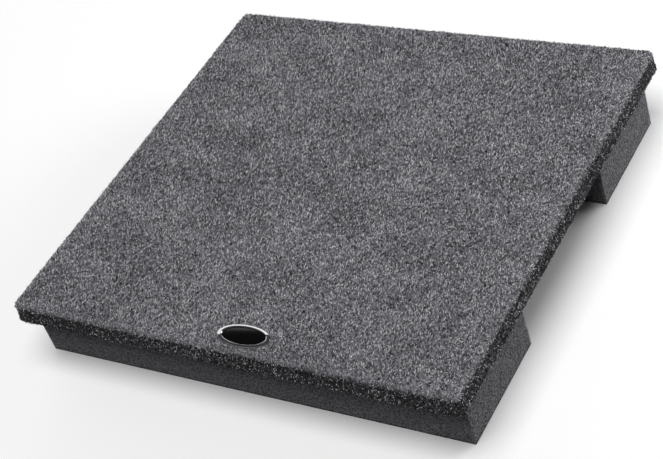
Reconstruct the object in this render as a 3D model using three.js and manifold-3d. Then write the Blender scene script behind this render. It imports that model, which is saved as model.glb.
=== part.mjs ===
// A carpeted isolation platform for a loudspeaker or subwoofer.
// An engineered-wood board is wrapped in needle-punched carpet, whose edge is turned under, mitred at the
// corners and stapled. Two full-width foam risers are glued below, and an oval badge is pinned to the front.
// Millimetres, +Z up, +Y to the back. The origin is on the floor, under the middle of the deck.
import * as THREE from 'three';
import { mergeVertices } from 'three/addons/utils/BufferGeometryUtils.js';
import Module from 'manifold-3d';

const wasm = await Module();
wasm.setup();

// Driving dimensions of the deck
const BOARD_WIDTH = 374.4;
const BOARD_DEPTH = 357;
const BOARD_THICKNESS = 9.5;
const BOARD_CORNER_RADIUS = 1.2;
const BOARD_TOP_ROUND = 0.8;
const BOARD_BOTTOM_ROUND = 0.5;

// The carpet and how it is wrapped
const CARPET_THICKNESS = 3;
const GLUE_LINE = 0.3;
const HEM_WIDTH = 38;
const HEM_CORNER_RADIUS = 1;
const MITRE_GAP = 0.8;

// The foam risers
const FOAM_HEIGHT = 44;
const RISER_DEPTH = 95.25;
const RISER_SIDE_INSET = 5.5;
const FRONT_RISER_INSET = 12;
const REAR_RISER_INSET = 16;
const FOAM_RAMP = 6;

// The staples: flat wire, a crown and two chisel-pointed legs
const STAPLE_CROWN = 10;
const STAPLE_LEG = 8;
const WIRE_WIDTH = 1.2;
const WIRE_THICKNESS = 0.6;
const SHOULDER_RADIUS = 0.9;
const CHISEL_POINT = 0.9;
const STAPLE_INSET = 24;
const STAPLE_CORNER_DISTANCE = 50;
const STAPLES_PER_ROW = 6;
const STAPLE_SINK = 0.2;
const STAPLE_CLEARANCE = 0.3;

// The badge
const BADGE_LENGTH = 44;
const BADGE_BREADTH = 20;
const BADGE_WALL_HEIGHT = 2;
const BADGE_DRAFT = 0.3;
const WINDOW_LENGTH = 37;
const WINDOW_BREADTH = 16.2;
const BEZEL_HEIGHT = 0.9;
const RECESS_DEPTH = 0.6;
const LENS_RISE = 0.5;
const LENS_CLEARANCE = 0.15;
const BADGE_OFF_CENTRE = 15.1;
const BADGE_FRONT_DISTANCE = 15.1;
const BADGE_PRESSED_IN = 0.8;
const BADGE_CLEARANCE = 0.3;
const PIN_RADIUS = 1.4;
const PIN_SPACING = 22;
const PIN_DEPTH_IN_BOARD = 5;

// How finely curves are drawn
const CORNER_STEPS = 7;
const EDGE_STEPS = 5;
const OVAL_STEPS = 56;
const DOME_STEPS = 6;
const PIN_STEPS = 20;

// Levels, from the floor up
const HEM_BOTTOM = FOAM_HEIGHT + GLUE_LINE;
const HEM_TOP = HEM_BOTTOM + CARPET_THICKNESS;
const BOARD_BOTTOM = HEM_TOP + GLUE_LINE;
const BOARD_TOP = BOARD_BOTTOM + BOARD_THICKNESS;
const CARPET_CEILING = BOARD_TOP + GLUE_LINE;
const DECK_TOP = CARPET_CEILING + CARPET_THICKNESS;

// Insets, from the carpet's outer face inwards
const WRAP = CARPET_THICKNESS + GLUE_LINE;
const DECK_WIDTH = BOARD_WIDTH + 2 * WRAP;
const DECK_DEPTH = BOARD_DEPTH + 2 * WRAP;
const DECK_CORNER_RADIUS = BOARD_CORNER_RADIUS + WRAP;
const RISER_WIDTH = DECK_WIDTH - 2 * RISER_SIDE_INSET;

const CARPET_MATERIAL = new THREE.MeshStandardMaterial({ color: 0x67676b, roughness: 0.97, metalness: 0 });
const FOAM_MATERIAL = new THREE.MeshStandardMaterial({ color: 0x4a4a4d, roughness: 0.95, metalness: 0 });
const BOARD_MATERIAL = new THREE.MeshStandardMaterial({ color: 0x9a7a55, roughness: 0.8, metalness: 0 });
const STEEL_MATERIAL = new THREE.MeshStandardMaterial({ color: 0xb4b6ba, roughness: 0.35, metalness: 1 });
const CHROME_MATERIAL = new THREE.MeshStandardMaterial({ color: 0xd6d7dc, roughness: 0.12, metalness: 1 });
const LENS_MATERIAL = new THREE.MeshStandardMaterial({ color: 0x050506, roughness: 0.08, metalness: 0 });

// A closed geometry as a manifold solid, joined up by position alone.
function solidOf(geometry) {
  const bare = geometry.clone();
  bare.deleteAttribute('normal');
  bare.deleteAttribute('uv');
  const merged = mergeVertices(bare, 1e-4);
  return new wasm.Manifold(new wasm.Mesh({
    numProp: 3,
    vertProperties: new Float32Array(merged.attributes.position.array),
    triVerts: new Uint32Array(merged.index.array),
  }));
}

function geometryOf(solid) {
  const made = solid.getMesh();
  const geometry = new THREE.BufferGeometry();
  geometry.setAttribute('position', new THREE.BufferAttribute(new Float32Array(made.vertProperties), 3));
  geometry.setIndex(new THREE.BufferAttribute(new Uint32Array(made.triVerts), 1));
  geometry.computeVertexNormals();
  return geometry;
}

// A closed skin over a stack of rings with equal counts of points, each run anticlockwise seen from above.
// The first and last rings are capped. Walls face outwards where the stack climbs.
function loft(rings) {
  const count = rings[0].length;
  const points = rings.flat();
  const faces = [];
  for (let level = 0; level + 1 < rings.length; level += 1) {
    for (let i = 0; i < count; i += 1) {
      const next = (i + 1) % count;
      const low = level * count;
      const high = low + count;
      faces.push(low + i, low + next, high + next, low + i, high + next, high + i);
    }
  }
  const last = (rings.length - 1) * count;
  for (let i = 1; i + 1 < count; i += 1) {
    faces.push(0, i + 1, i, last, last + i, last + i + 1);
  }
  const geometry = new THREE.BufferGeometry().setFromPoints(points);
  geometry.setIndex(faces);
  geometry.computeVertexNormals();
  return geometry;
}

// The deck's plan outline at a height, drawn in from the carpet's outer face by an inset.
function deckRing([inset, z]) {
  const radius = Math.max(DECK_CORNER_RADIUS - inset, HEM_CORNER_RADIUS);
  const x = DECK_WIDTH / 2 - inset - radius;
  const y = DECK_DEPTH / 2 - inset - radius;
  const ring = [];
  [[x, y], [-x, y], [-x, -y], [x, -y]].forEach(([cornerX, cornerY], corner) => {
    for (let step = 0; step <= CORNER_STEPS; step += 1) {
      const angle = (corner + step / CORNER_STEPS) * Math.PI / 2;
      ring.push(new THREE.Vector3(cornerX + radius * Math.cos(angle), cornerY + radius * Math.sin(angle), z));
    }
  });
  return ring;
}

// Points of an edge's quarter round as [inset, z], turning between two angles in degrees.
// 0 degrees points to the outside and 90 degrees points up.
function quarterRound(centreInset, centreZ, radius, from, to) {
  return Array.from({ length: EDGE_STEPS + 1 }, (_, step) => {
    const angle = THREE.MathUtils.degToRad(from + (to - from) * step / EDGE_STEPS);
    return [centreInset - radius * Math.cos(angle), centreZ + radius * Math.sin(angle)];
  });
}

function box(width, depth, height, x, y, z) {
  return solidOf(new THREE.BoxGeometry(width, depth, height).translate(x, y, z));
}

// Where the staples sit: four rows, each along one edge of the deck, set in to the middle of the hem.
function staplePlaces() {
  const rows = [
    { run: DECK_WIDTH, across: DECK_DEPTH, turn: 0 },
    { run: DECK_DEPTH, across: DECK_WIDTH, turn: 90 },
    { run: DECK_WIDTH, across: DECK_DEPTH, turn: 180 },
    { run: DECK_DEPTH, across: DECK_WIDTH, turn: 270 },
  ];
  const places = [];
  for (const { run, across, turn } of rows) {
    const reach = run / 2 - STAPLE_CORNER_DISTANCE;
    const angle = THREE.MathUtils.degToRad(turn);
    for (let i = 0; i < STAPLES_PER_ROW; i += 1) {
      const along = THREE.MathUtils.lerp(-reach, reach, i / (STAPLES_PER_ROW - 1));
      const place = new THREE.Vector3(along, -across / 2 + STAPLE_INSET, HEM_BOTTOM + STAPLE_SINK);
      place.applyAxisAngle(new THREE.Vector3(0, 0, 1), angle);
      places.push({ place, angle });
    }
  }
  return places;
}

// One staple, crown down along X, with its legs pointing up.
function stapleGeometry() {
  const half = STAPLE_CROWN / 2;
  const inner = half - WIRE_THICKNESS;
  const innerRadius = Math.max(SHOULDER_RADIUS - WIRE_THICKNESS, 0.1);
  const wire = new THREE.Shape();
  wire.moveTo(-half + SHOULDER_RADIUS, 0);
  wire.lineTo(half - SHOULDER_RADIUS, 0);
  wire.absarc(half - SHOULDER_RADIUS, SHOULDER_RADIUS, SHOULDER_RADIUS, -Math.PI / 2, 0, false);
  wire.lineTo(half, STAPLE_LEG - CHISEL_POINT);
  wire.lineTo(inner, STAPLE_LEG);
  wire.lineTo(inner, WIRE_THICKNESS + innerRadius);
  wire.absarc(inner - innerRadius, WIRE_THICKNESS + innerRadius, innerRadius, 0, -Math.PI / 2, true);
  wire.lineTo(-inner + innerRadius, WIRE_THICKNESS);
  wire.absarc(-inner + innerRadius, WIRE_THICKNESS + innerRadius, innerRadius, -Math.PI / 2, -Math.PI, true);
  wire.lineTo(-inner, STAPLE_LEG);
  wire.lineTo(-half, STAPLE_LEG - CHISEL_POINT);
  wire.lineTo(-half, SHOULDER_RADIUS);
  wire.absarc(-half + SHOULDER_RADIUS, SHOULDER_RADIUS, SHOULDER_RADIUS, Math.PI, Math.PI * 1.5, false);
  const flat = new THREE.ExtrudeGeometry(wire, { depth: WIRE_WIDTH, bevelEnabled: false, curveSegments: 3 });
  return flat.translate(0, 0, -WIRE_WIDTH / 2).rotateX(Math.PI / 2);
}

// The room that a driven staple takes: a groove for its crown and a hole for each leg.
function stapleRoom() {
  const crownDepth = WIRE_THICKNESS + STAPLE_CLEARANCE + STAPLE_SINK;
  const legDepth = STAPLE_LEG + STAPLE_CLEARANCE + STAPLE_SINK;
  const across = WIRE_WIDTH + 2 * STAPLE_CLEARANCE;
  const hole = WIRE_THICKNESS + 2 * STAPLE_CLEARANCE;
  const legX = (STAPLE_CROWN - WIRE_THICKNESS) / 2;
  // Each starts below the hem, so that it opens through the carpet's surface.
  const groove = box(STAPLE_CROWN + 2 * STAPLE_CLEARANCE, across, 2 * crownDepth, 0, 0, -STAPLE_SINK);
  return [-legX, legX].reduce(
    (room, x) => room.add(box(hole, across, legDepth, x, 0, legDepth / 2 - STAPLE_SINK)),
    groove,
  );
}

// All the rooms that the staples take, moved to where they are driven.
function stapleRooms() {
  const room = stapleRoom();
  const moved = staplePlaces().map(({ place, angle }) => room
    .rotate([0, 0, THREE.MathUtils.radToDeg(angle)])
    .translate([place.x, place.y, place.z]));
  return wasm.Manifold.union(moved);
}

// An oval outline at a height.
function ovalRing([length, breadth, z]) {
  return Array.from({ length: OVAL_STEPS }, (_, i) => {
    const angle = i / OVAL_STEPS * 2 * Math.PI;
    return new THREE.Vector3(length / 2 * Math.cos(angle), breadth / 2 * Math.sin(angle), z);
  });
}

// Two upright pins at the badge's spacing, as one solid, between two heights.
function pinPair(radius, bottom, top) {
  return [-1, 1].map((side) => solidOf(new THREE.CylinderGeometry(radius, radius, top - bottom, PIN_STEPS)
    .rotateX(Math.PI / 2)
    .translate(side * PIN_SPACING / 2, 0, (top + bottom) / 2)));
}

const BADGE_BOTTOM = DECK_TOP - BADGE_PRESSED_IN;
const BADGE_PLACE = [BADGE_OFF_CENTRE, -DECK_DEPTH / 2 + BADGE_FRONT_DISTANCE, BADGE_BOTTOM];
const PIN_REACH = BADGE_BOTTOM - (BOARD_TOP - PIN_DEPTH_IN_BOARD);

// The room that the badge takes: its pocket in the pile, and its pins' holes down into the board.
function badgeRoom() {
  const length = BADGE_LENGTH + 2 * BADGE_CLEARANCE;
  const breadth = BADGE_BREADTH + 2 * BADGE_CLEARANCE;
  const pocket = solidOf(loft([
    [length, breadth, -BADGE_CLEARANCE],
    [length, breadth, BADGE_PRESSED_IN + BADGE_CLEARANCE],
  ].map(ovalRing)));
  const holes = pinPair(PIN_RADIUS + BADGE_CLEARANCE, -PIN_REACH - BADGE_CLEARANCE, 0);
  return holes.reduce((room, hole) => room.add(hole), pocket).translate(BADGE_PLACE);
}

// The board: eased corners, a routed round along its top edge and an eased lower edge.
function boardGeometry(rooms) {
  const profile = [
    ...quarterRound(WRAP + BOARD_BOTTOM_ROUND, BOARD_BOTTOM + BOARD_BOTTOM_ROUND, BOARD_BOTTOM_ROUND, -90, 0),
    ...quarterRound(WRAP + BOARD_TOP_ROUND, BOARD_TOP - BOARD_TOP_ROUND, BOARD_TOP_ROUND, 0, 90),
  ];
  return geometryOf(solidOf(loft(profile.map(deckRing))).subtract(rooms));
}

// The cover, as one wrapped sheet: its section runs from the ceiling of the board's space, down inside the
// edge, round the turned-under hem and back up outside to the top of the pile.
function carpetGeometry(rooms) {
  const innerTop = BOARD_TOP_ROUND + GLUE_LINE;
  const innerBottom = BOARD_BOTTOM_ROUND + GLUE_LINE;
  const topCentre = [CARPET_THICKNESS + innerTop, CARPET_CEILING - innerTop];
  const bottomCentre = [CARPET_THICKNESS + innerBottom, HEM_TOP + innerBottom];
  const profile = [
    ...quarterRound(...topCentre, innerTop, 90, 0),
    ...quarterRound(...bottomCentre, innerBottom, 0, -90),
    [HEM_WIDTH, HEM_TOP],
    [HEM_WIDTH, HEM_BOTTOM],
    ...quarterRound(...bottomCentre, innerBottom + CARPET_THICKNESS, -90, 0),
    ...quarterRound(...topCentre, innerTop + CARPET_THICKNESS, 0, 90),
  ];
  const sheet = solidOf(loft(profile.map(deckRing)));
  return geometryOf(sheet.subtract(mitreCuts()).subtract(rooms));
}

// The cuts where neighbouring hems meet, from the hem's inner corner out to the turn of the fold.
function mitreCuts() {
  const start = CARPET_THICKNESS + BOARD_BOTTOM_ROUND + GLUE_LINE;
  const end = HEM_WIDTH + HEM_CORNER_RADIUS;
  const length = (end - start) * Math.SQRT2;
  const middle = (start + end) / 2;
  const cuts = [];
  for (const sideX of [-1, 1]) {
    for (const sideY of [-1, 1]) {
      cuts.push(box(length, MITRE_GAP, 2 * CARPET_THICKNESS, 0, 0, (HEM_BOTTOM + HEM_TOP) / 2)
        .rotate([0, 0, 45 * sideX * sideY])
        .translate([sideX * (DECK_WIDTH / 2 - middle), sideY * (DECK_DEPTH / 2 - middle), 0]));
    }
  }
  return wasm.Manifold.union(cuts);
}

// A riser: a cut foam block, pressed down by the hem and standing up against the bare board inside it.
// side is -1 for the front riser and 1 for the rear one; inset is its set-back from the deck's edge.
function riserGeometry(side, inset) {
  const outerY = side * (DECK_DEPTH / 2 - inset);
  const innerY = outerY - side * RISER_DEPTH;
  const block = box(RISER_WIDTH, RISER_DEPTH, FOAM_HEIGHT, 0, (outerY + innerY) / 2, FOAM_HEIGHT / 2);
  const padTop = BOARD_BOTTOM - GLUE_LINE;
  const edge = HEM_WIDTH + GLUE_LINE;
  const padRing = (ramp, z) => {
    const x = Math.min(DECK_WIDTH / 2 - edge, RISER_WIDTH / 2) - ramp;
    const hemY = side * (DECK_DEPTH / 2 - edge - ramp);
    const [lowY, highY] = [Math.min(hemY, innerY), Math.max(hemY, innerY)];
    return [[x, highY], [-x, highY], [-x, lowY], [x, lowY]].map(([px, py]) => new THREE.Vector3(px, py, z));
  };
  const pad = solidOf(loft([padRing(0, FOAM_HEIGHT / 2), padRing(0, FOAM_HEIGHT), padRing(FOAM_RAMP, padTop)]));
  return geometryOf(block.add(pad));
}

// The badge's moulded body: a drafted wall, a half-round bezel, a shallow recess and two pins behind.
function badgeBaseGeometry() {
  const crestLength = BADGE_LENGTH - 2 * BADGE_DRAFT;
  const crestBreadth = BADGE_BREADTH - 2 * BADGE_DRAFT;
  const bezel = Array.from({ length: DOME_STEPS + 1 }, (_, step) => {
    const angle = step / DOME_STEPS * Math.PI;
    const across = (1 - Math.cos(angle)) / 2;
    return [
      THREE.MathUtils.lerp(crestLength, WINDOW_LENGTH, across),
      THREE.MathUtils.lerp(crestBreadth, WINDOW_BREADTH, across),
      BADGE_WALL_HEIGHT + BEZEL_HEIGHT * Math.sin(angle),
    ];
  });
  const recessFloor = BADGE_WALL_HEIGHT - RECESS_DEPTH;
  const foot = [BADGE_LENGTH, BADGE_BREADTH, 0];
  const body = solidOf(loft([foot, ...bezel, [WINDOW_LENGTH, WINDOW_BREADTH, recessFloor]].map(ovalRing)));
  const pins = pinPair(PIN_RADIUS, -PIN_REACH, recessFloor / 2);
  return geometryOf(pins.reduce((whole, pin) => whole.add(pin), body));
}

// The black domed insert that fills the badge's recess.
function badgeLensGeometry() {
  const length = WINDOW_LENGTH - 2 * LENS_CLEARANCE;
  const breadth = WINDOW_BREADTH - 2 * LENS_CLEARANCE;
  const dome = Array.from({ length: DOME_STEPS }, (_, step) => {
    const share = step / DOME_STEPS;
    const height = BADGE_WALL_HEIGHT + LENS_RISE * share * (2 - share);
    return [length * (1 - share), breadth * (1 - share), height];
  });
  const floor = BADGE_WALL_HEIGHT - RECESS_DEPTH + LENS_CLEARANCE;
  return loft([[length, breadth, floor], ...dome].map(ovalRing));
}

function mesh(name, geometry, material, position = [0, 0, 0], turn = 0) {
  const made = new THREE.Mesh(geometry, material);
  made.name = name;
  made.position.set(...position);
  made.rotation.z = turn;
  return made;
}

const rooms = wasm.Manifold.union([stapleRooms(), badgeRoom()]);
const platform = new THREE.Group();

const deck = new THREE.Group();
deck.add(mesh('deck_board', boardGeometry(rooms), BOARD_MATERIAL));
deck.add(mesh('carpet_cover', carpetGeometry(rooms), CARPET_MATERIAL));
const staple = stapleGeometry();
staplePlaces().forEach(({ place, angle }, i) => {
  const name = `hem_staple_${String(i + 1).padStart(2, '0')}`;
  deck.add(mesh(name, staple, STEEL_MATERIAL, place.toArray(), angle));
});
platform.add(deck);

const risers = new THREE.Group();
risers.add(mesh('front_riser', riserGeometry(-1, FRONT_RISER_INSET), FOAM_MATERIAL));
risers.add(mesh('rear_riser', riserGeometry(1, REAR_RISER_INSET), FOAM_MATERIAL));
platform.add(risers);

const badge = new THREE.Group();
badge.position.set(...BADGE_PLACE);
badge.add(mesh('badge_base', badgeBaseGeometry(), CHROME_MATERIAL));
badge.add(mesh('badge_lens', badgeLensGeometry(), LENS_MATERIAL));
platform.add(badge);

export default platform;
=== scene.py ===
"""A carpeted isolation platform for a loudspeaker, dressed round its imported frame.

Run as a script in Blender 4.5. Each operator makes one piece, or one group of like pieces, and the panel in
the 3D view's sidebar lists them. Lengths are in metres. The badge's edge is the front, at -Y.
"""

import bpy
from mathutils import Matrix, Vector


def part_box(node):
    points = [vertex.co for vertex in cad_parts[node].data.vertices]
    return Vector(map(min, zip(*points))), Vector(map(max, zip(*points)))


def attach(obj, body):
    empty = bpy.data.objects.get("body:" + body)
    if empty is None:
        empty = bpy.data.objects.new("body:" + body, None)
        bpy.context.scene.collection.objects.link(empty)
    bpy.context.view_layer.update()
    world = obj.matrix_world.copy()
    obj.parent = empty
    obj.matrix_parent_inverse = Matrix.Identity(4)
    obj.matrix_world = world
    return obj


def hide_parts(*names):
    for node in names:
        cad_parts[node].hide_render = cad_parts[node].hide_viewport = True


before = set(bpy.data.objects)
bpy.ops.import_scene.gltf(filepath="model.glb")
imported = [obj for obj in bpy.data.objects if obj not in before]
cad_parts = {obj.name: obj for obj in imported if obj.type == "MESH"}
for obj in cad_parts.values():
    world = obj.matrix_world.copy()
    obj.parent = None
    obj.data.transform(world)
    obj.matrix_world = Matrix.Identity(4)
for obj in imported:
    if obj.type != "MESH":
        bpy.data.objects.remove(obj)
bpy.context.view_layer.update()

import math

import bpy
import numpy as np
from bpy.props import FloatProperty, FloatVectorProperty, IntProperty, PointerProperty
from mathutils import Quaternion, Vector

bl_info = {
    "name": "Isolation Platform",
    "version": (1, 0, 0),
    "blender": (4, 5, 0),
    "location": "View3D > Sidebar > Platform",
    "description": "Builds a carpeted loudspeaker isolation platform round its packed frame",
    "category": "Object",
}

BODY = "root"
FLOOR_REACH = 12.0
BADGE_PRESSED_IN = 0.0008
WINDOW_DEPTH = 0.0006
LENS_RISE = 0.0005
# The bezel from its outer wall in to its window, as shares of its width and of its height
BEZEL_PROFILE = (
    (0.01, 0.25), (0.04, 0.42), (0.08, 0.47), (0.12, 0.5), (0.3, 0.62), (0.5, 0.76), (0.7, 0.9), (0.77, 0.95),
    (0.81, 0.985), (0.84, 1.0), (0.87, 0.985), (0.9, 0.955), (0.94, 0.915), (0.97, 0.885), (1.0, 0.85),
)
DECK_LOW, DECK_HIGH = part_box("carpet_cover")
BOARD_LOW, BOARD_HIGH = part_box("deck_board")
BADGE_LOW, BADGE_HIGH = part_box("badge_base")
LENS_LOW, LENS_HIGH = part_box("badge_lens")
STAPLES = sorted(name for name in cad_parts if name.startswith("hem_staple"))
GLUE_LINE = 0.0003
FOAM_RAMP = 0.006  # over how much of its top a riser steps up inside the hem
RIM_HEIGHT = 0.008  # how high up the skirt the swollen rim reaches
RIM_REACH = 0.005  # how far under the deck it reaches, short of the foam
RIM_FADE = 0.0025
MITRE_DEPTH = 0.0018
STAPLE_FADE = 0.0022
STAPLE_MARGIN = 0.0006  # bare of fibres round each crown
BADGE_MARGIN = 0.0002  # bare of fibres round the badge
WORN_INSET = 0.004  # within this of the deck's outer face the fibres are worn shorter
LYING_INSET = 0.003  # and within this they lie flatter
PIT_BIAS = 0.25  # how much of the foam's face is free of torn cells


def srgb(red, green, blue):
    """Linear values of a colour that is written from 0 to 255, as a screen shows it."""
    shares = np.array([red, green, blue]) / 255
    return tuple(float(s / 12.92 if s <= 0.04045 else ((s + 0.055) / 1.055) ** 2.4) for s in shares)


def length_property(name, description, default):
    return FloatProperty(
        name=name, description=description, default=default, min=0, precision=5, subtype="DISTANCE", unit="LENGTH"
    )


def colour_property(name, description, default):
    return FloatVectorProperty(
        name=name, description=description, default=default, min=0, max=1, size=3, subtype="COLOR"
    )


class CarpetSettings(bpy.types.PropertyGroup):
    pitch: length_property("Mesh Pitch", "Spacing of the sheet's points", 0.002)
    corner_radius: length_property("Corner Radius", "Plan radius of the wrapped corners", 0.0045)
    least_radius: length_property("Least Radius", "Plan radius of the innermost corners", 0.001)
    top_round: length_property("Top Round", "Radius over the board's top edge", 0.0024)
    bottom_round: length_property("Bottom Round", "Radius of the turn under the board", 0.0018)
    hem_width: length_property("Hem Width", "How far the carpet is turned under", 0.038)
    mitre_gap: length_property("Mitre Gap", "Width of the cut between two hems", 0.0008)
    lump_height: length_property("Lump Height", "How far the needled pile swells and sinks", 0.0003)
    lump_size: length_property("Lump Size", "Spacing of the swellings", 0.007)
    rim_swell: length_property("Rim Swell", "How far the pile swells round the lower edge", 0.0016)
    staple_pull: length_property("Staple Pull", "How far each staple pulls the hem in", 0.0011)
    ground: colour_property("Ground", "Felt between the surface fibres", srgb(64, 64, 67))
    stroke: colour_property("Stroke", "Paler fibres lying in the felt", srgb(160, 160, 166))
    # Painted shade: below the line the wrapped edges take these darker colours, which stand in for the shade between
    # fibres where the pile is seen from its side.
    shaded_edge_ground: colour_property("Edge Ground", "Felt on the wrapped edges", srgb(32, 31, 32))
    shaded_edge_stroke: colour_property("Edge Stroke", "Paler fibres on the wrapped edges", srgb(96, 95, 98))
    painted_shade_line: length_property("Edge Line", "How far below the top the dark edge begins", 0.0034)


class PileSettings(bpy.types.PropertyGroup):
    count: IntProperty(name="Fibres Per Shade", description="Fibres in each shade", default=30000, min=1)
    length: length_property("Fibre Length", "Mean length of a bundle of fibre", 0.0025)
    thickness: length_property("Fibre Thickness", "Thickness of a bundle of fibre at its middle", 0.0005)
    drift: FloatProperty(
        name="Drift", description="How far the mix of shades wanders over the felt", default=0.45, min=0
    )
    drift_size: length_property("Drift Size", "Spacing of the paler and darker patches", 0.022)
    nap: FloatProperty(name="Nap", description="How strongly the fibres lean one way", default=1.2, min=0)
    seed: IntProperty(name="Seed", description="Start of the random placing", default=11, min=0)
    black: colour_property("Black", "Darkest fibres", srgb(27, 26, 27))
    charcoal: colour_property("Charcoal", "Dark fibres", srgb(84, 83, 86))
    grey: colour_property("Grey", "Middle fibres", srgb(160, 160, 166))
    pale: colour_property("Pale", "Lightest fibres", srgb(250, 250, 255))


class FoamSettings(bpy.types.PropertyGroup):
    pitch: length_property("Mesh Pitch", "Spacing of the foam's points", 0.002)
    cell: length_property("Cell Size", "Width of an open cell", 0.00145)
    pit_depth: length_property("Pit Depth", "How deep torn cells lie in the cut face", 0.0003)
    wall: colour_property("Cell Wall", "Foam between the cells", srgb(164, 164, 169))
    pore: colour_property("Pore", "Inside of a cell", srgb(16, 15, 17))


class HardwareSettings(bpy.types.PropertyGroup):
    board: colour_property("Board", "Fibreboard face", srgb(164, 131, 92))
    fleck: colour_property("Fleck", "Coarse fibres in the board", srgb(112, 82, 52))
    steel: colour_property("Staple Steel", "Galvanised wire", srgb(182, 184, 188))
    chrome: colour_property("Chrome", "Badge plating", srgb(205, 205, 209))
    gloss: colour_property("Badge Black", "Glossy insert", srgb(5, 5, 6))
    bezel_height: length_property("Bezel Height", "Rise of the bezel over the badge's wall", 0.0009)
    window_inset: length_property("Window Inset", "Width of the bezel at the badge's ends", 0.0035)
    window_side: length_property("Window Side", "Width of the bezel along its long sides", 0.0019)


class StageSettings(bpy.types.PropertyGroup):
    floor: colour_property("Floor", "Floor as the camera sees it", srgb(255, 255, 255))
    bounce: colour_property("Floor Bounce", "Floor as it lights the object", srgb(110, 110, 110))
    sky: FloatProperty(name="Sky", description="Strength of the even room light", default=0.07, min=0)
    overhead: FloatProperty(name="Overhead Lamp", description="Power in watts", default=600, min=0, unit="POWER")
    side: FloatProperty(name="Side Lamp", description="Power in watts", default=9.2, min=0, unit="POWER")
    card: FloatProperty(name="Left Card", description="Power in watts", default=31, min=0, unit="POWER")
    azimuth: FloatProperty(
        name="Azimuth", description="Camera's turn to the right of the front",
        default=math.radians(41.811), subtype="ANGLE",
    )
    elevation: FloatProperty(
        name="Elevation", description="Camera's height over the floor", default=math.radians(39.954), subtype="ANGLE"
    )
    roll: FloatProperty(
        name="Roll", description="Camera's turn about its own axis", default=math.radians(-20.488), subtype="ANGLE"
    )
    distance: length_property("Distance", "Camera to its target", 1.3135)
    target: FloatVectorProperty(
        name="Target", description="What the camera looks at", default=(0.0021, -0.0263, 0.03), subtype="XYZ"
    )
    lens: FloatProperty(name="Lens", description="Focal length in millimetres", default=93.31, min=1)


# Noise and meshes


def lattice_values(cells, seed):
    """A repeatable value from 0 to 1 for each whole-numbered cell."""
    x, y, z = (cells[..., axis].astype(np.uint64) & np.uint64(0xFFFFFFFF) for axis in range(3))
    mixed = x * np.uint64(374761393) + y * np.uint64(668265263) + z * np.uint64(2147483647) + np.uint64(seed)
    mixed = (mixed ^ (mixed >> np.uint64(13))) * np.uint64(1274126177)
    mixed = (mixed ^ (mixed >> np.uint64(16))) & np.uint64(0xFFFFFF)
    return mixed / float(0xFFFFFF)


def smooth_noise(points, size, seed=0):
    """Soft noise from -1 to 1 at points, whose swellings are about one size apart."""
    scaled = points / size + 4096
    cell = np.floor(scaled).astype(np.int64)
    share = scaled - cell
    share = share * share * (3 - 2 * share)
    total = np.zeros(len(points))
    for corner in np.ndindex(2, 2, 2):
        weight = np.prod(np.where(corner, share, 1 - share), axis=1)
        total += weight * lattice_values(cell + np.array(corner), seed)
    return 2 * total - 1


def make_object(name, points, faces, smooth=True):
    """A new mesh object in the scene, from points and lists of point numbers."""
    mesh = bpy.data.meshes.new(name)
    mesh.from_pydata(points.tolist(), [], faces)
    mesh.validate()
    mesh.shade_smooth() if smooth else mesh.shade_flat()
    made = bpy.data.objects.new(name, mesh)
    bpy.context.scene.collection.objects.link(made)
    return made


def points_of(mesh):
    points = np.empty(len(mesh.vertices) * 3)
    mesh.vertices.foreach_get("co", points)
    return points.reshape(-1, 3)


def normals_of(mesh):
    normals = np.empty(len(mesh.vertices) * 3, dtype=np.float32)
    mesh.vertex_normals.foreach_get("vector", normals)
    return normals.reshape(-1, 3).astype(float)


def displace(mesh, offsets):
    """Moves each point of a mesh along its normal."""
    moved = points_of(mesh) + normals_of(mesh) * offsets[:, None]
    mesh.vertices.foreach_set("co", moved.ravel())
    mesh.update()


def ring_faces(rings, flip=False):
    """Quads that join each ring of point numbers to the next one."""
    faces = []
    for low, high in zip(rings[:-1], rings[1:]):
        low_next, high_next = np.roll(low, -1), np.roll(high, -1)
        quads = np.stack([low, low_next, high_next, high], axis=1)
        faces += (quads[:, ::-1] if flip else quads).tolist()
    return faces


# Shader node groups and materials


def node(tree, kind, **values):
    """A new node of a kind, with its settings and its inputs' values."""
    made = tree.nodes.new(kind)
    for key, value in values.items():
        if hasattr(made, key):
            setattr(made, key, value)
        else:
            made.inputs[key.replace("_", " ").title()].default_value = value
    return made


def new_group(name, inputs, outputs):
    """An empty shader group with named sockets, and its input and output nodes."""
    tree = bpy.data.node_groups.new(name, "ShaderNodeTree")
    for socket, kind, value in inputs:
        made = tree.interface.new_socket(socket, in_out="INPUT", socket_type=kind)
        if value is not None:
            made.default_value = value
    for socket, kind in outputs:
        tree.interface.new_socket(socket, in_out="OUTPUT", socket_type=kind)
    return tree, tree.nodes.new("NodeGroupInput"), tree.nodes.new("NodeGroupOutput")


def map_range(tree, value, low, high):
    made = node(tree, "ShaderNodeMapRange", clamp=True)
    made.inputs["From Min"].default_value = low
    made.inputs["From Max"].default_value = high
    tree.links.new(value, made.inputs["Value"])
    return made.outputs["Result"]


def mix_colour(tree, factor, first, second):
    made = node(tree, "ShaderNodeMix", data_type="RGBA")
    tree.links.new(factor, made.inputs[0])
    for socket, source in zip((made.inputs[6], made.inputs[7]), (first, second)):
        tree.links.new(source, socket)
    return made.outputs[2]


def math_node(tree, operation, first, second):
    made = node(tree, "ShaderNodeMath", operation=operation)
    for socket, source in zip(made.inputs, (first, second)):
        if isinstance(source, (int, float)):
            socket.default_value = source
        else:
            tree.links.new(source, socket)
    return made.outputs["Value"]


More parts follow.
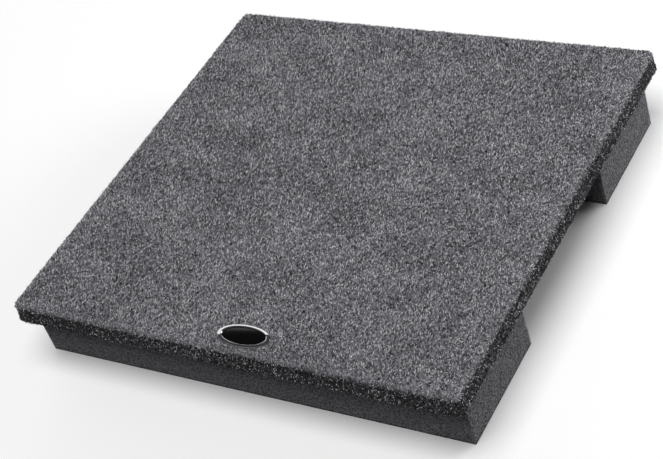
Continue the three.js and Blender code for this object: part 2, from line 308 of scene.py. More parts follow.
def strokes_group():
    """Short fibres lying near the nap: a colour between Ground and Stroke, and a height."""
    tree, source, result = new_group(
        "Felted Strokes",
        [
            ("Vector", "NodeSocketVector", None),
            ("Across", "NodeSocketFloat", 900.0),
            ("Along", "NodeSocketFloat", 260.0),
            ("Ground", "NodeSocketColor", None),
            ("Stroke", "NodeSocketColor", None),
        ],
        [("Color", "NodeSocketColor"), ("Height", "NodeSocketFloat")],
    )
    scale = tree.nodes.new("ShaderNodeCombineXYZ")
    for socket, name in zip(scale.inputs, ("Across", "Along", "Along")):
        tree.links.new(source.outputs[name], socket)
    best = 0.0
    for turn in (-60, -32, 4):
        turned = node(tree, "ShaderNodeVectorRotate", rotation_type="Z_AXIS")
        turned.inputs["Angle"].default_value = math.radians(turn)
        turned.inputs["Center"].default_value = (turn / 50, turn / 90, 0)
        tree.links.new(source.outputs["Vector"], turned.inputs["Vector"])
        scaled = node(tree, "ShaderNodeVectorMath", operation="MULTIPLY")
        tree.links.new(turned.outputs["Vector"], scaled.inputs[0])
        tree.links.new(scale.outputs["Vector"], scaled.inputs[1])
        noise = node(tree, "ShaderNodeTexNoise", scale=1.0, detail=2.0, roughness=0.5)
        tree.links.new(scaled.outputs["Vector"], noise.inputs["Vector"])
        best = math_node(tree, "MAXIMUM", noise.outputs["Fac"], best)
    height = map_range(tree, best, 0.46, 0.74)
    colour = mix_colour(tree, height, source.outputs["Ground"], source.outputs["Stroke"])
    tree.links.new(colour, result.inputs["Color"])
    tree.links.new(height, result.inputs["Height"])
    return tree


def cells_group():
    """Open cells of a cut foam or a pressed board: a colour between Pore and Wall, and a height."""
    tree, source, result = new_group(
        "Cut Cells",
        [
            ("Vector", "NodeSocketVector", None),
            ("Cells", "NodeSocketFloat", 900.0),
            ("Pore", "NodeSocketColor", None),
            ("Wall", "NodeSocketColor", None),
        ],
        [("Color", "NodeSocketColor"), ("Height", "NodeSocketFloat")],
    )
    cell = node(tree, "ShaderNodeTexVoronoi", feature="F1")
    noise = node(tree, "ShaderNodeTexNoise", detail=3.0, roughness=0.6)
    for texture in (cell, noise):
        tree.links.new(source.outputs["Vector"], texture.inputs["Vector"])
        tree.links.new(source.outputs["Cells"], texture.inputs["Scale"])
    wall = map_range(tree, cell.outputs["Distance"], 0.2, 0.7)
    grain = map_range(tree, noise.outputs["Fac"], 0.38, 0.62)
    height = math_node(tree, "MULTIPLY", math_node(tree, "ADD", wall, grain), 0.5)
    colour = mix_colour(tree, height, source.outputs["Pore"], source.outputs["Wall"])
    tree.links.new(colour, result.inputs["Color"])
    tree.links.new(height, result.inputs["Height"])
    return tree


def handling_group():
    """Faint uneven handling of a hard surface: a roughness between Low and High."""
    tree, source, result = new_group(
        "Handling",
        [
            ("Vector", "NodeSocketVector", None),
            ("Marks", "NodeSocketFloat", 300.0),
            ("Low", "NodeSocketFloat", 0.1),
            ("High", "NodeSocketFloat", 0.2),
        ],
        [("Roughness", "NodeSocketFloat")],
    )
    noise = node(tree, "ShaderNodeTexNoise", detail=4.0, roughness=0.65)
    tree.links.new(source.outputs["Vector"], noise.inputs["Vector"])
    tree.links.new(source.outputs["Marks"], noise.inputs["Scale"])
    made = node(tree, "ShaderNodeMapRange", clamp=True)
    tree.links.new(noise.outputs["Fac"], made.inputs["Value"])
    made.inputs["From Min"].default_value = 0.3
    made.inputs["From Max"].default_value = 0.7
    tree.links.new(source.outputs["Low"], made.inputs["To Min"])
    tree.links.new(source.outputs["High"], made.inputs["To Max"])
    tree.links.new(made.outputs["Result"], result.inputs["Roughness"])
    return tree


def shared_group(name, build):
    return bpy.data.node_groups.get(name) or build()


def new_material(name, roughness, metallic=0.0):
    """A material with its node tree, its shader and the object's own coordinates."""
    material = bpy.data.materials.new(name)
    material.use_nodes = True
    tree = material.node_tree
    shader = tree.nodes["Principled BSDF"]
    shader.inputs["Roughness"].default_value = roughness
    shader.inputs["Metallic"].default_value = metallic
    coordinates = tree.nodes.new("ShaderNodeTexCoord")
    return material, tree, shader, coordinates.outputs["Object"]


def place_group(tree, group, vector, **values):
    """A shared group in a material, with the values that this material gives it."""
    made = node(tree, "ShaderNodeGroup", node_tree=group)
    tree.links.new(vector, made.inputs["Vector"])
    for key, value in values.items():
        socket = made.inputs[key.title()]
        socket.default_value = (*value, 1) if socket.type == "RGBA" else value
    return made


def add_bump(tree, shader, height, distance, strength=1.0):
    bump = node(tree, "ShaderNodeBump", strength=strength, distance=distance)
    tree.links.new(height, bump.inputs["Height"])
    tree.links.new(bump.outputs["Normal"], shader.inputs["Normal"])


def stroke_material(name, ground, stroke, across, along, depth):
    material, tree, shader, vector = new_material(name, 0.95)
    shader.inputs["Specular IOR Level"].default_value = 0.15
    group = place_group(
        tree, shared_group("Felted Strokes", strokes_group), vector,
        across=across, along=along, ground=ground, stroke=stroke,
    )
    tree.links.new(group.outputs["Color"], shader.inputs["Base Color"])
    add_bump(tree, shader, group.outputs["Height"], depth)
    return material


def cell_material(name, pore, wall, cells, depth, roughness):
    material, tree, shader, vector = new_material(name, roughness)
    shader.inputs["Specular IOR Level"].default_value = 0.2
    group = place_group(
        tree, shared_group("Cut Cells", cells_group), vector, cells=cells, pore=pore, wall=wall
    )
    tree.links.new(group.outputs["Color"], shader.inputs["Base Color"])
    add_bump(tree, shader, group.outputs["Height"], depth)
    return material


def hard_material(name, colour, metallic, marks, low, high):
    material, tree, shader, vector = new_material(name, low, metallic)
    shader.inputs["Base Color"].default_value = (*colour, 1)
    group = place_group(
        tree, shared_group("Handling", handling_group), vector, marks=marks, low=low, high=high
    )
    tree.links.new(group.outputs["Roughness"], shader.inputs["Roughness"])
    return material


def paint(obj, material):
    obj.data.materials.clear()
    obj.data.materials.append(material)


# The carpet


def deck_ring(settings, inset, z):
    """Points round the deck at an inset from its outer face, anticlockwise from the +X side."""
    corner_steps, side_steps = ring_steps(settings)
    half = (DECK_HIGH - DECK_LOW) / 2
    radius = max(settings.corner_radius - inset, settings.least_radius)
    reach = np.array([half.x, half.y]) - inset - radius
    ring = []
    for quarter, signs in enumerate(((1, 1), (-1, 1), (-1, -1), (1, -1))):
        angles = (quarter + np.arange(corner_steps + 1) / corner_steps) * math.pi / 2
        arc = reach * signs + radius * np.stack([np.cos(angles), np.sin(angles)], axis=1)
        ring.append(arc)
        next_signs = ((-1, 1), (-1, -1), (1, -1), (1, 1))[quarter]
        start, end = arc[-1], reach * next_signs + radius * np.array([np.cos(angles[-1]), np.sin(angles[-1])])
        steps = side_steps[quarter % 2]
        shares = np.arange(1, steps)[:, None] / steps
        ring.append(start + (end - start) * shares)
    flat = np.concatenate(ring)
    return np.column_stack([flat, np.full(len(flat), z)])


def ring_steps(settings):
    """How many steps each corner has, and each straight side along X and along Y."""
    size = DECK_HIGH - DECK_LOW
    corner = 2 * max(3, round(settings.corner_radius * math.pi / 4 / settings.pitch))
    return corner, [round((length - 2 * settings.corner_radius) / settings.pitch) for length in (size.x, size.y)]


def top_grid(settings, z):
    """The flat top inside the rounded edge, as a grid whose corners are bent round, and its outer walk."""
    corner_steps, (steps_x, steps_y) = ring_steps(settings)
    block = corner_steps // 2
    half = (DECK_HIGH - DECK_LOW) / 2
    radius = max(settings.corner_radius - settings.top_round, settings.least_radius)
    axes = []
    for steps, length in ((steps_x, half.x), (steps_y, half.y)):
        numbers = np.arange(steps + 2 * block + 1)
        straight = np.clip((numbers - block) / steps, 0, 1) * 2 - 1
        past = np.maximum(block - numbers, numbers - block - steps).clip(0) / block
        axes.append((straight * (length - settings.top_round - radius), np.sign(straight) * past))
    (flat_x, past_x), (flat_y, past_y) = axes
    past_x, past_y = np.meshgrid(past_x, past_y, indexing="ij")
    size_x, size_y = np.abs(past_x), np.abs(past_y)
    largest = np.maximum(size_x, size_y)
    angle = math.pi / 4 * np.where(
        size_x >= size_y, size_y / np.maximum(size_x, 1e-9), 2 - size_x / np.maximum(size_y, 1e-9)
    )
    x = flat_x[:, None] + np.sign(past_x) * largest * np.cos(angle) * radius
    y = flat_y[None, :] + np.sign(past_y) * largest * np.sin(angle) * radius
    points = np.stack([x, y, np.full_like(x, z)], axis=2).reshape(-1, 3)
    count_x, count_y = x.shape
    number = np.arange(count_x * count_y).reshape(count_x, count_y)
    quads = np.stack([number[:-1, :-1], number[1:, :-1], number[1:, 1:], number[:-1, 1:]], axis=2).reshape(-1, 4)
    start = count_y - 1 - block
    walk = np.concatenate([
        number[-1, start:], number[-2::-1, -1], number[0, -2::-1], number[1:, 0], number[-1, 1:start],
    ])
    return points, quads, walk


def quarter_round(inset, z, radius, start, end, steps):
    """Section points [inset, z] on a round. 0 degrees points outwards and 90 degrees up."""
    angles = np.radians(np.linspace(start, end, steps + 1))
    return [(inset - radius * math.cos(a), z + radius * math.sin(a)) for a in angles]


def line(start, end, steps):
    """Section points after start, up to and with end."""
    return [tuple(np.array(start) + (np.array(end) - start) * i / steps) for i in range(1, steps + 1)]


def carpet_section(settings):
    """The wrapped sheet's section as [inset, z], from the top's edge round under the board and back inside.
    The second value is how many of its points lie on the pile's side."""
    thickness = DECK_HIGH.z - BOARD_HIGH.z
    top, bottom = DECK_HIGH.z, DECK_LOW.z
    outer_top = quarter_round(settings.top_round, top - settings.top_round, settings.top_round, 90, 0, 5)
    outer_bottom = quarter_round(
        settings.bottom_round, bottom + settings.bottom_round, settings.bottom_round, 0, -90, 5
    )
    skirt = line(outer_top[-1], outer_bottom[0], 5)
    hem = line(outer_bottom[-1], (settings.hem_width, bottom), 16)
    pile = outer_top + skirt + outer_bottom[1:] + hem
    back = BOARD_LOW.z - (thickness - (BOARD_LOW.z - DECK_LOW.z)) - GLUE_LINE
    inner = thickness - GLUE_LINE
    rise = line(hem[-1], (settings.hem_width, back), 2)
    under = line(rise[-1], (inner + 0.0005, back), 4)
    side = line(under[-1], (inner, back + 0.0005), 1) + line((inner, back + 0.0005), (inner, top - inner - 0.001), 4)
    over = line(side[-1], (inner + 0.001, top - inner), 1)
    return pile + rise + under + side + over, len(pile)


def pile_lumps(settings, points):
    """Height of the needled pile at points: broad swellings with smaller ones on them."""
    broad = smooth_noise(points, settings.lump_size, 3)
    fine = smooth_noise(points, settings.lump_size / 2.4, 5)
    return settings.lump_height * (0.5 * broad + 0.5 * fine)


def rim_swelling(settings, points):
    """How far the pile swells out and down round the deck's lower edge, clear of the foam."""
    half = (DECK_HIGH - DECK_LOW) / 2
    inset = np.minimum(half.x - np.abs(points[:, 0]), half.y - np.abs(points[:, 1]))
    height = np.clip(1 - (points[:, 2] - DECK_LOW.z) / RIM_HEIGHT, 0, 1)
    return settings.rim_swell * height * np.clip((RIM_REACH - inset) / RIM_FADE, 0, 1)


def mitre_sink(settings, points):
    """How far the hem's points sink at the cut between two hems, seen from below."""
    half = (DECK_HIGH - DECK_LOW) / 2
    off_diagonal = np.abs((half.x - np.abs(points[:, 0])) - (half.y - np.abs(points[:, 1]))) / math.sqrt(2)
    under = points[:, 2] < DECK_LOW.z + settings.bottom_round / 2
    near = np.clip(1 - off_diagonal / (1.5 * settings.mitre_gap), 0, 1)
    inside = half.x - np.abs(points[:, 0]) > settings.bottom_round
    return -MITRE_DEPTH * near * under * inside


def staple_distance(points):
    """How far points lie in plan from the nearest staple's crown."""
    nearest = np.full(points.shape[:-1], np.inf)
    for name in STAPLES:
        low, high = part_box(name)
        past_x = np.maximum(low.x - points[..., 0], points[..., 0] - high.x)
        past_y = np.maximum(low.y - points[..., 1], points[..., 1] - high.y)
        nearest = np.minimum(nearest, np.maximum(past_x, past_y))
    return nearest


def staple_sink(settings, points):
    """How far the hem is pulled in round the staples' crowns, seen from below."""
    near = np.clip(1.6 - staple_distance(points) / STAPLE_FADE, 0, 1)
    return -settings.staple_pull * near * (points[:, 2] < DECK_LOW.z + settings.bottom_round / 2)


def carpet_mesh(settings):
    """The whole wrapped sheet as one closed mesh, whose points on the pile's side are marked."""
    section, pile_count = carpet_section(settings)
    points, top_quads, walk = top_grid(settings, DECK_HIGH.z)
    rings, blocks, total = [walk], [points], len(points)
    for inset, z in section[1:]:
        ring = deck_ring(settings, inset, z)
        rings.append(np.arange(total, total + len(ring)))
        blocks.append(ring)
        total += len(ring)
    faces = top_quads.tolist() + ring_faces(rings, flip=True) + [rings[-1][::-1].tolist()]
    sheet = make_object("carpet_sheet", np.concatenate(blocks), faces)
    is_pile = np.arange(total) < len(points) + (pile_count - 1) * len(walk)
    sheet.data.attributes.new("pile_side", "FLOAT", "POINT").data.foreach_set("value", is_pile.astype(np.float32))
    return sheet


def pile_side(mesh):
    marks = np.empty(len(mesh.vertices), dtype=np.float32)
    mesh.attributes["pile_side"].data.foreach_get("value", marks)
    return marks


def carpet_material(settings):
    """Felt with lying fibres and painted shade on the wrapped edges, which are coloured darker below a line where
    the pile is seen from its side.
    """
    material, tree, shader, vector = new_material("needled_carpet", 0.95)
    shader.inputs["Specular IOR Level"].default_value = 0.15
    split = tree.nodes.new("ShaderNodeSeparateXYZ")
    tree.links.new(vector, split.inputs[0])
    # The painted shade's mask: 1 on the top and 0 on the edges below the line, which take the darker colours.
    line = DECK_HIGH.z - settings.painted_shade_line
    top = map_range(tree, split.outputs["Z"], line - 0.0009, line + 0.0009)
    group = place_group(tree, shared_group("Felted Strokes", strokes_group), vector, across=1000, along=300)
    for socket, edge, flat in (
        ("Ground", settings.shaded_edge_ground, settings.ground), ("Stroke", settings.shaded_edge_stroke, settings.stroke),
    ):
        mix = node(tree, "ShaderNodeMix", data_type="RGBA")
        tree.links.new(top, mix.inputs[0])
        mix.inputs[6].default_value = (*edge, 1)
        mix.inputs[7].default_value = (*flat, 1)
        tree.links.new(mix.outputs[2], group.inputs[socket])
    tree.links.new(group.outputs["Color"], shader.inputs["Base Color"])
    add_bump(tree, shader, group.outputs["Height"], 0.0005)
    return material


class PLATFORM_OT_carpet(bpy.types.Operator):
    """Makes the carpet sheet that wraps the board"""

    bl_idname = "platform.carpet"
    bl_label = "Carpet Sheet"

    def execute(self, context):
        settings = context.scene.platform_carpet
        sheet = carpet_mesh(settings)
        points = points_of(sheet.data)
        swelling = pile_lumps(settings, points) + rim_swelling(settings, points)
        swelling += mitre_sink(settings, points) + staple_sink(settings, points)
        displace(sheet.data, pile_side(sheet.data) * swelling)
        paint(sheet, carpet_material(settings))
        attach(sheet, BODY)
        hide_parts("carpet_cover")
        return {"FINISHED"}


# The carpet's standing fibres


def pile_weight(centres, normals, shaded_edge_share):
    """How thickly a shade stands at places on the sheet, as shares of its thickness on the top."""
    painted_shade_line = bpy.context.scene.platform_carpet.painted_shade_line
    # Painted shade: below the line each shade of fibre stands at its share for the edges, so the dark fibres crowd
    # there and the pale ones thin out.
    weight = np.where(centres[:, 2] > DECK_HIGH.z - painted_shade_line, 1.0, shaded_edge_share)
    under = normals[:, 2] < -0.7
    for riser in ("front_riser", "rear_riser"):
        low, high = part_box(riser)
        within = (np.abs(centres[:, 0]) < high.x) & (centres[:, 1] > low.y) & (centres[:, 1] < high.y)
        weight = np.where(under & within, 0, weight)
    return np.where(under, weight * 0.5, weight)


def over_badge(points, margin):
    """Which points stand over the badge's oval, or within a margin of it."""
    centre = (BADGE_LOW + BADGE_HIGH) / 2
    reach = (BADGE_HIGH - BADGE_LOW) / 2
    across = (points[..., 0] - centre.x) / (reach.x + margin)
    along = (points[..., 1] - centre.y) / (reach.y + margin)
    return across ** 2 + along ** 2 < 1


def scatter(mesh, count, shaded_edge_share, drift, settings, rng):
    """Random places on the sheet's pile side, with their normals: by area, by a shade's share of the edges, which
    darkens them as painted shade, and more or fewer where the mix drifts towards that shade or away from it."""
    mesh.calc_loop_triangles()
    triangles = np.empty(len(mesh.loop_triangles) * 3, dtype=np.int32)
    mesh.loop_triangles.foreach_get("vertices", triangles)
    triangles = triangles.reshape(-1, 3)
    corners = points_of(mesh)[triangles]
    cross = np.cross(corners[:, 1] - corners[:, 0], corners[:, 2] - corners[:, 0])
    doubled = np.linalg.norm(cross, axis=1)
    normals = cross / np.maximum(doubled, 1e-12)[:, None]
    weight = doubled * pile_side(mesh)[triangles].min(axis=1)
    centres = corners.mean(axis=1)
    weight *= pile_weight(centres, normals, shaded_edge_share)
    weight *= 1 + drift * settings.drift * smooth_noise(centres, settings.drift_size, 29)
    picked = rng.choice(len(weight), count, p=weight / weight.sum())
    first, second = rng.random((2, count, 1))
    over = first + second > 1
    first, second = np.where(over, 1 - first, first), np.where(over, 1 - second, second)
    chosen = corners[picked]
    places = chosen[:, 0] + first * (chosen[:, 1] - chosen[:, 0]) + second * (chosen[:, 2] - chosen[:, 0])
    return places, normals[picked]


def fibre_paths(places, normals, settings, rng):
    """Root, middle and tip of each fibre, which stands in the felt and leans with the nap, each its own way.
    The nap lies to the back on the top and hangs on the edges, where the fibres are worn shorter."""
    count = len(places)
    is_edge = normals[:, 2:] < 0.6
    nap = np.where(is_edge, [[0.0, 0.0, -1.0]], [[0.0, 1.0, 0.0]])
    lean = settings.nap * nap + rng.normal(0, 1, (count, 3))
    lean -= (lean * normals).sum(axis=1)[:, None] * normals
    lean /= np.linalg.norm(lean, axis=1)[:, None]
    half = (DECK_HIGH - DECK_LOW) / 2
    inset = np.minimum(half.x - np.abs(places[:, :1]), half.y - np.abs(places[:, 1:2]))
    length = settings.length * rng.uniform(0.5, 1.5, (count, 1)) * np.where(inset < WORN_INSET, 0.7, 1)
    rise = rng.uniform(0.15, 0.85, (count, 1)) * np.where(is_edge, 0.38, np.where(inset < LYING_INSET, 0.6, 1))
    across = np.cross(normals, lean) * rng.normal(0, 0.12, (count, 1))
    root = places - 0.08 * length * normals
    tip = places + length * (rise * normals + np.sqrt(1 - rise ** 2) * lean)
    middle = (root + tip) / 2 + length * (across + 0.08 * normals)
    return np.stack([root, middle, tip], axis=1)


def fibre_object(name, paths, thickness):
    """Closed fibres along three-point paths: three-sided, thickest in the middle and pointed at both ends."""
    count = len(paths)
    run = paths[:, 2] - paths[:, 0]
    run /= np.linalg.norm(run, axis=1)[:, None]
    side = np.cross(run, [0.31, 0.42, 0.85])
    side /= np.linalg.norm(side, axis=1)[:, None]
    other = np.cross(run, side)
    angles = np.arange(3) * 2 * math.pi / 3
    ring = [paths[:, 1] + thickness / 2 * (math.cos(a) * side + math.sin(a) * other) for a in angles]
    points = np.stack([paths[:, 0], *ring, paths[:, 2]], axis=1).reshape(-1, 3)
    sides = [(corner, (corner + 1) % 3) for corner in range(3)]
    fibre = [(0, 1 + b, 1 + a) for a, b in sides] + [(4, 1 + a, 1 + b) for a, b in sides]
    faces = (np.array(fibre)[None] + 5 * np.arange(count)[:, None, None]).reshape(-1, 3)
    made = make_object(name, points, faces.tolist())
    add_fibre_map(made.data, count)
    return made


def add_fibre_map(mesh, count):
    """A UV map that gives each fibre its own small cell."""
    fibre = [[(0, (2 * a + 1) / 6), (0.5, (a + 1) / 3), (0.5, a / 3)] for a in range(3)]
    fibre += [[(1, (2 * a + 1) / 6), (0.5, a / 3), (0.5, (a + 1) / 3)] for a in range(3)]
    across = math.ceil(math.sqrt(count))
    cell = np.stack([np.arange(count) % across, np.arange(count) // across], axis=1)
    layout = (cell[:, None] + 0.1 + 0.8 * np.array(fibre).reshape(-1, 2)[None]) / across
    mesh.uv_layers.new(name="OFBake").data.foreach_set("uv", layout.ravel())


class PLATFORM_OT_pile(bpy.types.Operator):
    """Stands the carpet's fibres on its pile side, one piece for each shade"""

    bl_idname = "platform.pile"
    bl_label = "Carpet Pile"

    def execute(self, context):
        settings = context.scene.platform_pile
        sheet = bpy.data.objects["carpet_sheet"]
        rng = np.random.default_rng(settings.seed)
        # The shares on the edges are painted shade: dark fibres stand thicker there and pale ones thinner, so the
        # wrapped edges look shaded.
        for shade, shaded_edge_share, drift in (
            ("black", 1.5, -1.0), ("charcoal", 1.2, -0.5), ("grey", 0.68, 0.5), ("pale", 0.5, 1.0),
        ):
            places, normals = scatter(sheet.data, settings.count, shaded_edge_share, drift, settings, rng)
            paths = fibre_paths(places, normals, settings, rng)
            stapled = (staple_distance(paths) < STAPLE_MARGIN) & (paths[..., 2] < BOARD_LOW.z)
            paths = paths[~(over_badge(paths, BADGE_MARGIN) | stapled).any(axis=1)]
            fibres = fibre_object(f"pile_{shade}", paths, settings.thickness)
            colour = np.array(getattr(settings, shade))
            paint(fibres, stroke_material(
                f"pile_{shade}", tuple(colour * 0.8), tuple(np.minimum(colour * 1.25, 1)),
                across=500, along=300, depth=0.0001,
            ))
            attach(fibres, BODY)
        return {"FINISHED"}


# The foam risers


def riser_top(points, low, high, inner_side, foam_top):
    """Height of a riser's top: the hem presses it down, and it stands up to the bare board inside the hem."""
    hem = bpy.context.scene.platform_carpet.hem_width + GLUE_LINE
    half = (DECK_HIGH - DECK_LOW) / 2
    inside_x = half.x - hem - np.abs(points[:, 0])
    inside_y = half.y - hem + inner_side * points[:, 1]
    ramp = np.clip(np.minimum(inside_x, inside_y) / FOAM_RAMP, 0, 1)
    return foam_top + (high.z - foam_top) * ramp


def riser_mesh(name, node_name, inner_side, settings):
    """A cut foam block as a fine closed grid, with its true pressed top."""
    low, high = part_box(node_name)
    foam_top = DECK_LOW.z - GLUE_LINE
    counts = [max(2, round(size / settings.pitch)) for size in (high.x - low.x, high.y - low.y, foam_top - low.z)]
    index = {}
    points, faces = [], []

    def number(cell):
        if cell not in index:
            index[cell] = len(points)
            points.append([
                low.x + (high.x - low.x) * cell[0] / counts[0],
                low.y + (high.y - low.y) * cell[1] / counts[1],
                low.z + (foam_top - low.z) * cell[2] / counts[2],
            ])
        return index[cell]

    for axis in range(3):
        first, second = (axis + 1) % 3, (axis + 2) % 3
        for level in (0, counts[axis]):
            for i in range(counts[first]):
                for j in range(counts[second]):
                    quad = []
                    for di, dj in ((0, 0), (1, 0), (1, 1), (0, 1)):
                        cell = [0, 0, 0]
                        cell[axis], cell[first], cell[second] = level, i + di, j + dj
                        quad.append(number(tuple(cell)))
                    faces.append(quad if level else quad[::-1])
    points = np.array(points)
    share = (points[:, 2] - low.z) / (foam_top - low.z)
    raised = riser_top(points, low, high, inner_side, foam_top) - foam_top
    points[:, 2] += np.where(share > 0.999, raised, 0)
    return make_object(name, points, faces), low, high


def foam_pits(settings, points):
    """Depth of the torn cells in a cut foam face."""
    rough = smooth_noise(points, settings.pitch * 2.1, 17)
    pits = np.clip(smooth_noise(points, settings.pitch * 3.2, 23) - PIT_BIAS, 0, 1)
    return -settings.pit_depth * (0.5 + 0.5 * rough) - 1.3 * settings.pit_depth * pits


class PLATFORM_OT_foam(bpy.types.Operator):
    """Makes the two foam risers"""

    bl_idname = "platform.foam"
    bl_label = "Foam Risers"

    def execute(self, context):
        settings = context.scene.platform_foam
        material = cell_material(
            "cut_foam", settings.pore, settings.wall, 1 / settings.cell, depth=0.0006, roughness=0.95
        )
        for name, node_name, inner_side in (
            ("foam_front", "front_riser", 1),
            ("foam_rear", "rear_riser", -1),
        ):
            riser, low, high = riser_mesh(name, node_name, inner_side, settings)
            points = points_of(riser.data)
            standing = points[:, 2] > low.z + 1e-5
            displace(riser.data, foam_pits(settings, points) * standing)
            paint(riser, material)
            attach(riser, BODY)
            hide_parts(node_name)
        return {"FINISHED"}


# The board and its staples


class PLATFORM_OT_board(bpy.types.Operator):
    """Finishes the board and the staples, whose shapes come from the frame"""

    bl_idname = "platform.board"
    bl_label = "Board and Staples"

    def execute(self, context):
        settings = context.scene.platform_hardware
        board = cell_material(
            "fibreboard", settings.fleck, settings.board, 1400, depth=0.0001, roughness=0.75
        )
        paint(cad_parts["deck_board"], board)
        steel = hard_material("staple_steel", settings.steel, 1.0, marks=900, low=0.28, high=0.5)
        for name in STAPLES:
            paint(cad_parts[name], steel)
        return {"FINISHED"}


# The badge


def oval(length, breadth, z, steps=160):
    angles = np.arange(steps) / steps * 2 * math.pi
    return np.stack([length / 2 * np.cos(angles), breadth / 2 * np.sin(angles), np.full(steps, z)], axis=1)


def oval_stack(name, sections, centre):
    """A closed body through ovals of (length, breadth, z), capped at both ends."""
    blocks = [oval(*section) + [centre[0], centre[1], 0] for section in sections]
    count = len(blocks[0])
    rings = [np.arange(count) + level * count for level in range(len(blocks))]
    faces = ring_faces(rings) + [rings[0][::-1].tolist(), rings[-1].tolist()]
    return make_object(name, np.concatenate(blocks), faces)


class PLATFORM_OT_badge(bpy.types.Operator):
    """Makes the bare oval badge: a chrome bezel with a glossy black insert"""

    bl_idname = "platform.badge"
    bl_label = "Badge"

    def execute(self, context):
        settings = context.scene.platform_hardware
        centre = (BADGE_LOW + BADGE_HIGH) / 2
        length, breadth = BADGE_HIGH.x - BADGE_LOW.x, BADGE_HIGH.y - BADGE_LOW.y
        wall = BADGE_HIGH.z - settings.bezel_height
        foot = DECK_HIGH.z - BADGE_PRESSED_IN
        window = (length - 2 * settings.window_inset, breadth - 2 * settings.window_side)
        sections = [(length, breadth, foot), (length, breadth, wall)]
        for share, rise in BEZEL_PROFILE:
            sections.append((
                length + (window[0] - length) * share,
                breadth + (window[1] - breadth) * share,
                wall + settings.bezel_height * rise,
            ))
        sections.append((*window, wall - WINDOW_DEPTH))
        bezel = oval_stack("badge_bezel", sections, centre)
        paint(bezel, hard_material("badge_chrome", settings.chrome, 1.0, marks=500, low=0.04, high=0.09))
        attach(bezel, BODY)
        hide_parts("badge_base")

        lens_size = (LENS_HIGH.x - LENS_LOW.x, LENS_HIGH.y - LENS_LOW.y)
        dome = [
            (lens_size[0] * share, lens_size[1] * share, LENS_HIGH.z - LENS_RISE * share ** 2)
            for share in np.linspace(1, 0.04, 18)
        ]
        insert = oval_stack("badge_insert", [(*lens_size, LENS_LOW.z), *dome], centre)
        black = hard_material("badge_black", settings.gloss, 0.0, marks=400, low=0.08, high=0.16)
        black.node_tree.nodes["Principled BSDF"].inputs["Specular IOR Level"].default_value = 0.25
        paint(insert, black)
        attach(insert, BODY)
        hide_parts("badge_lens")
        return {"FINISHED"}


# The stage


def floor_material(settings):
    """Pale to the camera and in reflections, and less bright as it lights the object."""
    material, tree, shader, _ = new_material("studio_floor", 0.9)
    shader.inputs["Specular IOR Level"].default_value = 0.0
    path = tree.nodes.new("ShaderNodeLightPath")
    seen = math_node(tree, "MAXIMUM", path.outputs["Is Camera Ray"], path.outputs["Is Glossy Ray"])
    seen = math_node(tree, "MAXIMUM", seen, path.outputs["Is Transmission Ray"])
    mix = node(tree, "ShaderNodeMix", data_type="RGBA")
    mix.inputs[6].default_value = (*settings.bounce, 1)
    mix.inputs[7].default_value = (*settings.floor, 1)
    tree.links.new(seen, mix.inputs[0])
    tree.links.new(mix.outputs[2], shader.inputs["Base Color"])
    return material


def area_lamp(name, power, size, place, aim):
    data = bpy.data.lights.new(name, "AREA")
    data.energy = power
    data.shape = "RECTANGLE"
    data.size, data.size_y = size
    lamp = bpy.data.objects.new(name, data)
    lamp.location = place
    lamp.rotation_mode = "QUATERNION"
    lamp.rotation_quaternion = (Vector(aim) - Vector(place)).to_track_quat("-Z", "Y")
    bpy.context.scene.collection.objects.link(lamp)
    return lamp


def camera_object(settings):
    """The camera at the photograph's angle, turned about its own axis by the roll."""
    back = Vector((
        math.sin(settings.azimuth) * math.cos(settings.elevation),
        -math.cos(settings.azimuth) * math.cos(settings.elevation),
        math.sin(settings.elevation),
    ))
    data = bpy.data.cameras.new("camera")
    data.sensor_width = 36
    data.lens = settings.lens
    data.clip_start, data.clip_end = 0.01, 50
    camera = bpy.data.objects.new("camera", data)
    camera.location = Vector(settings.target) + back * settings.distance
    camera.rotation_mode = "QUATERNION"
    camera.rotation_quaternion = (-back).to_track_quat("-Z", "Y") @ Quaternion((0, 0, 1), settings.roll)
    bpy.context.scene.collection.objects.link(camera)
    return camera


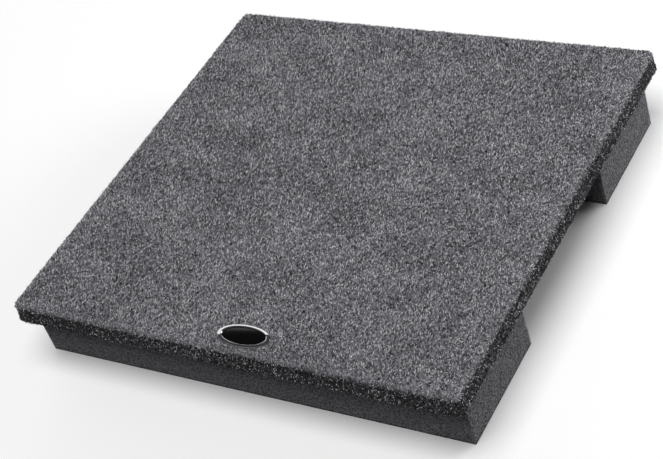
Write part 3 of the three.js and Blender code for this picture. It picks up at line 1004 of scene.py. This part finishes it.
class PLATFORM_OT_stage(bpy.types.Operator):
    """Makes the floor, the lamps, the even room light and the camera"""

    bl_idname = "platform.stage"
    bl_label = "Stage"

    def execute(self, context):
        settings = context.scene.platform_stage
        corners = FLOOR_REACH * np.array([(-1, -1, 0), (1, -1, 0), (1, 1, 0), (-1, 1, 0)])
        floor = make_object("floor", corners, [[0, 1, 2, 3]], smooth=False)
        paint(floor, floor_material(settings))
        overhead = area_lamp("overhead_softbox", settings.overhead, (6.6, 6.6), (0.3, -1.8, 7.7), (0, 0, 0.05))
        overhead.visible_glossy = False
        area_lamp("side_softbox", settings.side, (0.9, 0.5), (0.9, 0.98, 0.42), (0.15, 0.15, 0.03))
        area_lamp("left_card", settings.card, (3.6, 2.25), (-2.76, 2.22, 1.32), (0.0, -0.165, 0.06))
        world = bpy.data.worlds.new("studio")
        context.scene.world = world
        world.use_nodes = True
        background = world.node_tree.nodes["Background"]
        background.inputs["Color"].default_value = (1, 1, 1, 1)
        background.inputs["Strength"].default_value = settings.sky
        context.scene.camera = camera_object(settings)
        context.scene.view_settings.view_transform = "Standard"
        return {"FINISHED"}


class PLATFORM_PT_panel(bpy.types.Panel):
    bl_idname = "PLATFORM_PT_panel"
    bl_label = "Isolation Platform"
    bl_space_type = "VIEW_3D"
    bl_region_type = "UI"
    bl_category = "Platform"

    def draw(self, context):
        for operator in OPERATORS:
            self.layout.operator(operator.bl_idname)
        for name, (settings_class, title) in SETTINGS.items():
            self.layout.label(text=title)
            column = self.layout.column()
            for field in settings_class.__annotations__:
                column.prop(getattr(context.scene, name), field)


OPERATORS = (
    PLATFORM_OT_stage,
    PLATFORM_OT_board,
    PLATFORM_OT_carpet,
    PLATFORM_OT_pile,
    PLATFORM_OT_foam,
    PLATFORM_OT_badge,
)
SETTINGS = {
    "platform_carpet": (CarpetSettings, "Carpet"),
    "platform_pile": (PileSettings, "Pile"),
    "platform_foam": (FoamSettings, "Foam"),
    "platform_hardware": (HardwareSettings, "Board, Staples and Badge"),
    "platform_stage": (StageSettings, "Stage"),
}
CLASSES = (*(settings_class for settings_class, _ in SETTINGS.values()), *OPERATORS, PLATFORM_PT_panel)


def register():
    for cls in CLASSES:
        bpy.utils.register_class(cls)
    for name, (settings_class, _) in SETTINGS.items():
        setattr(bpy.types.Scene, name, PointerProperty(type=settings_class))


def unregister():
    for name in SETTINGS:
        delattr(bpy.types.Scene, name)
    for cls in reversed(CLASSES):
        bpy.utils.unregister_class(cls)


def main():
    register()
    for operator in OPERATORS:
        category, name = operator.bl_idname.split(".")
        getattr(getattr(bpy.ops, category), name)()


if __name__ == "__main__":
    main()
